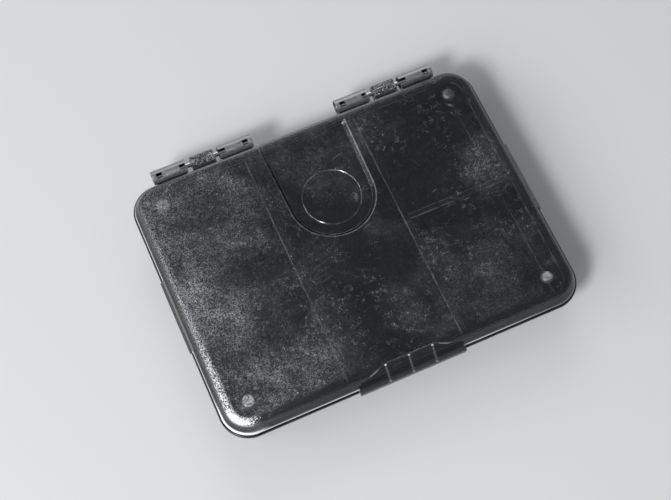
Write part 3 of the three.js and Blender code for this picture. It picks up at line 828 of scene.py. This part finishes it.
# %% Tongue
TONGUE_DEPTH = 1.1 * MM
TONGUE_LAND = 0.2 * MM
TONGUE_CORNER = 0.9 * MM
TONGUE_ROUND = 0.45 * MM
RING_HALF_WIDTH = 0.36 * MM
RING_RAISE = 0.14 * MM  # its centre line above the tongue's floor
RING_STEPS = 96
tongue_back_y = RIM_Y - flat_inset - TONGUE_LAND
tongue_floor = LID_TOP - TONGUE_DEPTH
print("tongue, mm long:", round((tongue_back_y - TONGUE_TIP_Y + TONGUE_TIP_RADIUS) / MM, 1))


def tongue_loop(inset, z):
    """The tongue's plan outline, moved in by an inset."""
    half = TONGUE_BACK_HALF - inset
    back_y = tongue_back_y - inset
    turn = TONGUE_CORNER
    points = arc((0, TONGUE_TIP_Y), TONGUE_TIP_RADIUS - inset, 180, 360, 48)
    points += arc((half - turn, back_y - turn), turn, 0, 90, 6)
    points += arc((turn - half, back_y - turn), turn, 90, 180, 6)
    return [(x, y, z) for x, y in points]


def tongue_hollow():
    wall_angle = math.degrees(math.atan2(TONGUE_DEPTH, TONGUE_SLOPE))
    shift = TONGUE_ROUND * math.tan(math.radians(wall_angle / 2))
    floor_middle = (TONGUE_SLOPE + shift, tongue_floor + TONGUE_ROUND)
    rim_middle = (-shift, LID_TOP - TONGUE_ROUND)
    profile = [
        (TONGUE_SLOPE + shift + SUPPORT, tongue_floor),
        *arc(floor_middle, TONGUE_ROUND, -90, -90 - wall_angle, 5),
        *arc(rim_middle, TONGUE_ROUND, 90 - wall_angle, 90, 5),
        (-shift, LID_TOP + OVERCUT),
    ]
    return shell(profile, tongue_loop)


def tongue_boss():
    """The thickness that the lid keeps below the tongue."""
    spread = LID_WALL / 2
    return shell([(TONGUE_SLOPE - spread, tongue_floor - LID_WALL), (-spread, LID_TOP - LID_WALL),
                  (-spread, LID_TOP - LID_WALL / 2)], tongue_loop)


def ring_groove():
    """A shallow round groove: a thin torus laid on the tongue's floor, and sunk in most of the way."""
    shape = bmesh.new()
    section = arc((RING_RADIUS, tongue_floor + RING_RAISE), RING_HALF_WIDTH, 0, 324, 9)
    rows = []
    for i in range(RING_STEPS):
        turn = 2 * math.pi * i / RING_STEPS
        rows.append([shape.verts.new((r * math.cos(turn), TONGUE_TIP_Y + r * math.sin(turn), z))
                     for r, z in section])
    for i in range(RING_STEPS):
        here, there = rows[i], rows[(i + 1) % RING_STEPS]
        for k in range(len(section)):
            m = (k + 1) % len(section)
            shape.faces.new((here[k], there[k], there[m], here[m]))
    return solid(shape)


# %% [markdown]
# Tabs on both sides hang over the rim, and two knuckles reach back to the hinge pins. Four small
# sockets under the corners of the top hold round discs.

# %% Tabs, knuckles and sockets
TAB_HALF = 12 * MM
TAB_DROP = 1.2 * MM
TAB_RISE = 2.6 * MM
tab_face = lid_high.x
lid_wall_middle = (LID_SET_IN + HOLLOW_INSET) / 2
BORE_RADIUS = PIN_RADIUS + FIT
KNUCKLE_HALF_SIDE = lid_high.y - AXIS_Y
KNUCKLE_ROUND = 0.8 * MM
KNUCKLE_LENGTH = 7.6 * MM

hinge_centres = [sum(c.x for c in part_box(node)) / 2 for node in pin_nodes]
disc_boxes = {node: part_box(node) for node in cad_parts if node.startswith("corner_disc_")}
disc_low, disc_high = disc_boxes["corner_disc_front_left"]
DISC_RADIUS = (disc_high.x - disc_low.x) / 2
SOCKET_WALL = 0.8 * MM
print("hinges at, mm:", [round(x / MM, 1) for x in hinge_centres], "and", len(disc_boxes), "discs")


def side_tab(side):
    low = RIM_Z - TAB_DROP
    inner = RIM_X - LID_SET_IN
    points = [
        (RIM_X - lid_wall_middle, LID_FOOT), (inner, LID_FOOT), (inner, low),
        *arc((tab_face - LIP_ROUND, low + LIP_ROUND), LIP_ROUND, -90, 0, 5),
        (tab_face, LID_FOOT), (RIM_X - lid_wall_middle, RIM_Z + TAB_RISE),
    ]
    tab = prism([(side * x, z) for x, z in points], "Y", -TAB_HALF, TAB_HALF)
    return soften(tab, EDGE)


def knuckle(centre):
    flat = KNUCKLE_HALF_SIDE - KNUCKLE_ROUND
    points = []
    for quarter, (sy, sz) in enumerate(QUARTERS):
        points += arc((AXIS_Y + sy * flat, AXIS_Z + sz * flat), KNUCKLE_ROUND,
                      quarter * 90, quarter * 90 + 90, 6)
    start, end = centre - KNUCKLE_LENGTH / 2, centre + KNUCKLE_LENGTH / 2
    arm = block((start, RIM_Y - lid_wall_middle, LID_FOOT), (end, AXIS_Y, AXIS_Z + KNUCKLE_HALF_SIDE))
    return soften(combine(prism(points, "X", start, end), "UNION", arm), EDGE)


def socket(box, radius, low, high):
    centre = (box[0] + box[1]) / 2
    return turned((centre.x, centre.y, low), (0, 0, 1), [(0, radius), (high - low, radius)])


# %% Assemble the lid
lid = combine(with_latch(lid_outside()), "DIFFERENCE", lid_hollow())
combine(lid, "UNION", tongue_boss())
combine(lid, "DIFFERENCE", tongue_hollow(), ring_groove())
combine(lid, "UNION", side_tab(-1), side_tab(1), *[knuckle(x) for x in hinge_centres])
far = RIM_X + OVERCUT
combine(lid, "DIFFERENCE", rod(BORE_RADIUS, -far, far))
for box in disc_boxes.values():
    outer = DISC_RADIUS + FIT + SOCKET_WALL
    combine(lid, "UNION", socket(box, outer, disc_low.z, LID_TOP - LID_WALL / 2))
    combine(lid, "DIFFERENCE", socket(box, DISC_RADIUS + FIT, disc_low.z - OVERCUT, disc_high.z + FIT))
finish(lid, "lid_smoked", "lid", "smoked_plastic", SMOKED, "lid_shell")

# %% [markdown]
# Three grip ribs cross the slanted face, and four discs sit in the lid's sockets. Each kind is one
# shape repeated on a plain pattern, which is what Geometry Nodes are good at: points in a row or at
# the corners of a grid, a copy on each, then real geometry and a finish. The copies are turned into
# a plain mesh, so that nothing depends on the tree afterwards.

# %% Repeating a shape
def repeat_tree(name, points_kind, sizes):
    """A tree that puts copies of an object on points. Sizes are its named inputs, by socket."""
    tree = bpy.data.node_groups.new(name, "GeometryNodeTree")
    tree.interface.new_socket("Geometry", in_out="OUTPUT", socket_type="NodeSocketGeometry")
    for label, (kind, _) in {"Copy of": ("Object", ""), "Finish": ("Material", ""), **sizes}.items():
        tree.interface.new_socket(label, in_out="INPUT", socket_type="NodeSocket" + kind)
    given = add(tree, "NodeGroupInput").outputs
    points = add(tree, points_kind, None, {socket: given[label] for label, (_, socket) in sizes.items()})
    shape = add(tree, "GeometryNodeObjectInfo", None, (given["Copy of"],)).outputs["Geometry"]
    copies = add(tree, "GeometryNodeInstanceOnPoints", None, {"Points": points, "Instance": shape})
    real = add(tree, "GeometryNodeRealizeInstances", None, (copies,))
    painted = add(tree, "GeometryNodeSetMaterial", None, {"Geometry": real, "Material": given["Finish"]})
    add(tree, "NodeGroupOutput", None, (painted,))
    return tree


def repeat(tree, shape, material, values):
    """A new object with the tree's copies of a shape, which is then removed."""
    made = new_object("copies", bpy.data.meshes.new("copies"))
    step = made.modifiers.new("copies", "NODES")
    step.node_group = tree
    sockets = {item.name: item.identifier for item in tree.interface.items_tree}
    for label, value in {"Copy of": shape, "Finish": material, **values}.items():
        step[sockets[label]] = value
    settle(made)
    bpy.data.objects.remove(shape)
    return made


# %% Grip ribs on the latch
RIB_COUNT = 3
RIB_PITCH = 7.5 * MM
RIB_RADIUS = 0.42 * MM
RIB_START = 0.2 * MM  # along the slant, from the lid's flat top
RIB_LENGTH = 6.1 * MM
# the ribs' paleness is a painted highlight, brightest at their round ends
RIB_PAINTED_HIGHLIGHT = (0.12, 1.0)  # how pale it is along its length, and at its round ends
RIB_END = 0.9 * RIB_RADIUS  # how far the painted highlight at a round end reaches

slant = Vector((0, lip_face - slant_top_y, -LATCH_FACE_DROP)).normalized()
rib_start = Vector((-RIB_PITCH, slant_top_y, LID_TOP)) + slant * RIB_START
rounded = [(RIB_RADIUS + a, b) for a, b in arc((0, 0), RIB_RADIUS, 176, 90, 8)]
rib_profile = rounded + [(RIB_LENGTH - a, b) for a, b in rounded[::-1]]
rib = turned((0, 0, 0), slant, rib_profile, 20)
rubbed = rib.data.attributes.new("rubbed", "FLOAT", "POINT")
for vertex, value in zip(rib.data.vertices, rubbed.data):
    from_end = min(vertex.co.dot(slant), RIB_LENGTH - vertex.co.dot(slant))
    value.value = RIB_PAINTED_HIGHLIGHT[from_end < RIB_END]
row_tree = repeat_tree("row_of_copies", "GeometryNodeMeshLine", {
    "Count": ("Int", "Count"), "First": ("Vector", "Start Location"),
    "Step": ("Vector", "Offset")})
ribs = repeat(row_tree, rib, SMOKED, {
    "Count": RIB_COUNT, "First": rib_start, "Step": (RIB_PITCH, 0, 0)})
finish(ribs, "grip_ribs", "lid", "smoked_plastic", SMOKED)

# %% Corner discs
DISC_EDGE = 1.2 * MM  # rounding of the dome's edge
DISC_CHAMFER = 0.25 * MM
disc_height = disc_high.z - disc_low.z
disc_profile = [(0, DISC_RADIUS - DISC_CHAMFER), (DISC_CHAMFER, DISC_RADIUS)]
disc_profile += [(disc_height + b, DISC_RADIUS - DISC_EDGE + a)
                 for a, b in arc((0, -DISC_EDGE), DISC_EDGE, 0, 90, 8)]
disc = turned((0, 0, disc_low.z), (0, 0, 1), disc_profile)
spread = [abs(disc_low[i] + disc_high[i]) for i in (0, 1)]
grid_tree = repeat_tree("corners_of_a_grid", "GeometryNodeMeshGrid", {
    "Width": ("Float", "Size X"), "Depth": ("Float", "Size Y"),
    "Columns": ("Int", "Vertices X"), "Rows": ("Int", "Vertices Y")})
discs = repeat(grid_tree, disc, STREAKED, {
    "Width": spread[0], "Depth": spread[1], "Columns": 2, "Rows": 2})
finish(discs, "corner_discs", "lid", "pin_steel", STREAKED, *disc_boxes)

# %% [markdown]
# The tray is one skin from its underside, up the wall, round the rim flange and the coping, and down
# into the pocket. Wherever the lid hangs over the rim, the flange is cut back. Grooves in the walls
# and the floor hold the dividers.

# %% Tray form
FLANGE_REACH = 2.3 * MM
FLANGE_THICKNESS = 1.3 * MM
FLANGE_ROUND = 0.4 * MM
TRAY_WALL = 1.9 * MM
TRAY_FLOOR = 1.6 * MM
TRAY_DRAFT = 0.6 * MM
FOOT_ROUND = 1.6 * MM
POCKET_ROUND = 2 * MM
COPING_WALL = 1.2 * MM
COPING_ROUND = 0.35 * MM
pocket_inset = FLANGE_REACH + TRAY_WALL
coping_inset = pocket_inset - COPING_WALL
flange_under = RIM_Z - FLANGE_THICKNESS
divider_nodes = ("divider_left", "divider_right", "cross_divider")
print("pocket, mm deep:", round((COPING_TOP - TRAY_FLOOR) / MM, 1))


def tray_skin():
    foot = FLANGE_REACH + TRAY_DRAFT + FOOT_ROUND
    pocket = pocket_inset + TRAY_DRAFT + POCKET_ROUND
    return shell([
        (foot + SUPPORT, 0),
        *profile_arc(foot, FOOT_ROUND, FOOT_ROUND, -90, 0, 8),
        (FLANGE_REACH, flange_under),
        *profile_arc(FLANGE_ROUND, flange_under + FLANGE_ROUND, FLANGE_ROUND, -90, 0, 5),
        *profile_arc(FLANGE_ROUND, RIM_Z - FLANGE_ROUND, FLANGE_ROUND, 0, 90, 6),
        (coping_inset, RIM_Z),
        *profile_arc(coping_inset + COPING_ROUND, COPING_TOP - COPING_ROUND, COPING_ROUND, 0, 90, 5),
        *profile_arc(pocket_inset - COPING_ROUND, COPING_TOP - COPING_ROUND, COPING_ROUND, 90, 180, 5),
        *profile_arc(pocket, TRAY_FLOOR + POCKET_ROUND, POCKET_ROUND, 0, -90, 8),
        (pocket + SUPPORT, TRAY_FLOOR),
    ])


def flange_cuts():
    back_off = LID_SET_IN + FIT
    low, high = flange_under - OVERCUT, RIM_Z + FIT
    latch = LATCH_FOOT_HALF + FIT
    tab = TAB_HALF + FIT
    spans = [(-latch, latch, -RIM_Y - OVERCUT, -RIM_Y + back_off),
             (-RIM_X - OVERCUT, -RIM_X + back_off, -tab, tab),
             (RIM_X - back_off, RIM_X + OVERCUT, -tab, tab)]
    for pin in pin_nodes:
        start, end = (c.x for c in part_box(pin))
        spans.append((start - 2 * FIT, end + 2 * FIT, RIM_Y - back_off, RIM_Y + OVERCUT))
    return [block((x, y, low), (x_end, y_end, high)) for x, x_end, y, y_end in spans]


def divider_grooves():
    boxes = [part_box(node) for node in divider_nodes]
    return [block(low - Vector((FIT, FIT, FIT)), high + Vector((FIT, FIT, OVERCUT))) for low, high in boxes]


# %% [markdown]
# Each hinge has a black lug of the tray inside every sleeve, on a thin web with two gussets. The
# sleeves are slotted to pass over the web. Windows near their outer ends and open notches at their
# inner ends are cut down to the pin, and show its glint in the dark.

# %% Hinge pieces
SLEEVE_WALL = 0.45 * MM
LUG_INSET = 0.6 * MM
WEB_THICKNESS = 1.2 * MM
WINDOW_LENGTH = 1.9 * MM
WINDOW_WIDTH = 1.6 * MM
WINDOW_INSET = 1.3 * MM
NOTCH_LENGTH = 2.2 * MM
WINDOW_TILT = math.radians(16)
GUSSET_THICKNESS = 1.2 * MM
GUSSET_INSET = 1.8 * MM
GUSSET_DROP = 3.6 * MM
FINE_EDGE = 0.1 * MM  # rounding of the edges of sleeves, lugs and dividers
WEB_STEP = 0.05 * MM  # the web ends just short of the lug, so that their faces don't coincide
web_top = AXIS_Z - FIT
sleeve_nodes = sorted(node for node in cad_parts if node.startswith("hinge_sleeve_"))


def window_cuts(node):
    """The window and the open notch of a sleeve, which lean back over the pin."""
    low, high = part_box(node)
    hinge = min(hinge_centres, key=lambda x: abs(x - (low.x + high.x) / 2))
    outer, inner, outward = (high.x, low.x, 1) if low.x + high.x > 2 * hinge else (low.x, high.x, -1)
    reach = (high.z - AXIS_Z) + OVERCUT
    lean_y, lean_z = -math.sin(WINDOW_TILT), math.cos(WINDOW_TILT)
    half = WINDOW_WIDTH / 2
    points = [(AXIS_Y + side * half * lean_z + far * lean_y, AXIS_Z - side * half * lean_y + far * lean_z)
              for side, far in ((-1, 0), (1, 0), (1, reach), (-1, reach))]
    spans = ((outer - outward * WINDOW_INSET, outer - outward * (WINDOW_INSET + WINDOW_LENGTH)),
             (inner + outward * NOTCH_LENGTH, inner - outward * OVERCUT))
    return [prism(points, "X", min(span), max(span)) for span in spans]


def lug(node):
    """A lug with its web and gussets. Each part is rounded before it is joined, because a bevel
    can't follow the fine edges that a Boolean leaves."""
    low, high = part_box(node)
    start, end = low.x + LUG_INSET, high.x - LUG_INSET
    radius = (high.z - low.z) / 2 - SLEEVE_WALL - FIT
    wall_inside = RIM_Y - FLANGE_REACH - TRAY_WALL / 2
    shelf = RIM_Y - LID_SET_IN - FIT
    made = soften(rod(radius, start, end), FINE_EDGE)
    web = soften(block((start + WEB_STEP, wall_inside, web_top - WEB_THICKNESS),
                       (end - WEB_STEP, AXIS_Y - BORE_RADIUS, web_top)), FINE_EDGE)
    gussets = []
    for x in (low.x + GUSSET_INSET, high.x - GUSSET_INSET):
        points = [(wall_inside, web_top - WEB_THICKNESS - GUSSET_DROP), (shelf, web_top - WEB_THICKNESS),
                  (shelf, web_top), (wall_inside, web_top)]
        gusset = prism(points, "X", x - GUSSET_THICKNESS / 2, x + GUSSET_THICKNESS / 2)
        gussets.append(soften(gusset, FINE_EDGE))
    combine(made, "UNION", web, *gussets)
    bore = rod(BORE_RADIUS, start - OVERCUT, end + OVERCUT)
    return combine(made, "DIFFERENCE", bore, *window_cuts(node))


def sleeve(node):
    low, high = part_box(node)
    radius = (high.z - low.z) / 2
    made = rod(radius, low.x, high.x)
    slot = block((low.x - OVERCUT, low.y - OVERCUT, web_top - WEB_THICKNESS - FIT),
                 (high.x + OVERCUT, AXIS_Y - PIN_RADIUS, web_top + FIT))
    bore = rod(radius - SLEEVE_WALL, low.x - OVERCUT, high.x + OVERCUT)
    return soften(combine(made, "DIFFERENCE", bore, slot, *window_cuts(node)), FINE_EDGE)


for node in sleeve_nodes:
    finish(sleeve(node), node.replace("hinge_", "") + "_rolled", "base", "satin_metal", SATIN, node)

PIN_CHAMFER = 0.2 * MM
for node in pin_nodes:
    low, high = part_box(node)
    length = high.x - low.x
    pin = turned((low.x, AXIS_Y, AXIS_Z), (1, 0, 0), [
        (0, PIN_RADIUS - PIN_CHAMFER), (PIN_CHAMFER, PIN_RADIUS),
        (length - PIN_CHAMFER, PIN_RADIUS), (length, PIN_RADIUS - PIN_CHAMFER)], 32)
    finish(pin, node + "_drawn", "base", "pin_steel", BRIGHT, node)

# %% Assemble the tray
tray = combine(tray_skin(), "DIFFERENCE", *flange_cuts(), *divider_grooves())
combine(tray, "UNION", *[lug(node) for node in sleeve_nodes])
finish(tray, "tray_moulded", "base", "black_plastic", BLACK, "base_tray")

# %% [markdown]
# The dividers are plates with a full round along the top, where a finger drags over them.

# %% Dividers
DIVIDER_ROUND = 0.9 * MM
CROSS_GROOVE = 0.55 * MM


def plate(node, axis):
    low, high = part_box(node)
    i, j = (0, 1) if axis == "Y" else (1, 0)
    points = [(low[i], low.z), (high[i], low.z),
              *arc((high[i] - DIVIDER_ROUND, high.z - DIVIDER_ROUND), DIVIDER_ROUND, 0, 90, 8),
              *arc((low[i] + DIVIDER_ROUND, high.z - DIVIDER_ROUND), DIVIDER_ROUND, 90, 180, 8)]
    return prism(points, axis, low[j], high[j])


right_divider = plate("divider_right", "Y")
cross_low, cross_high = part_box("cross_divider")
groove_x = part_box("divider_right")[1].x - CROSS_GROOVE
combine(right_divider, "DIFFERENCE", block(
    (groove_x, cross_low.y - FIT, cross_low.z - OVERCUT),
    (groove_x + OVERCUT, cross_high.y + FIT, cross_high.z + OVERCUT)))
plates = (plate("divider_left", "Y"), right_divider, plate("cross_divider", "X"))
for made, node in zip(plates, divider_nodes):
    finish(soften(made, FINE_EDGE), node + "_plate", "base", "black_plastic", BLACK, node)
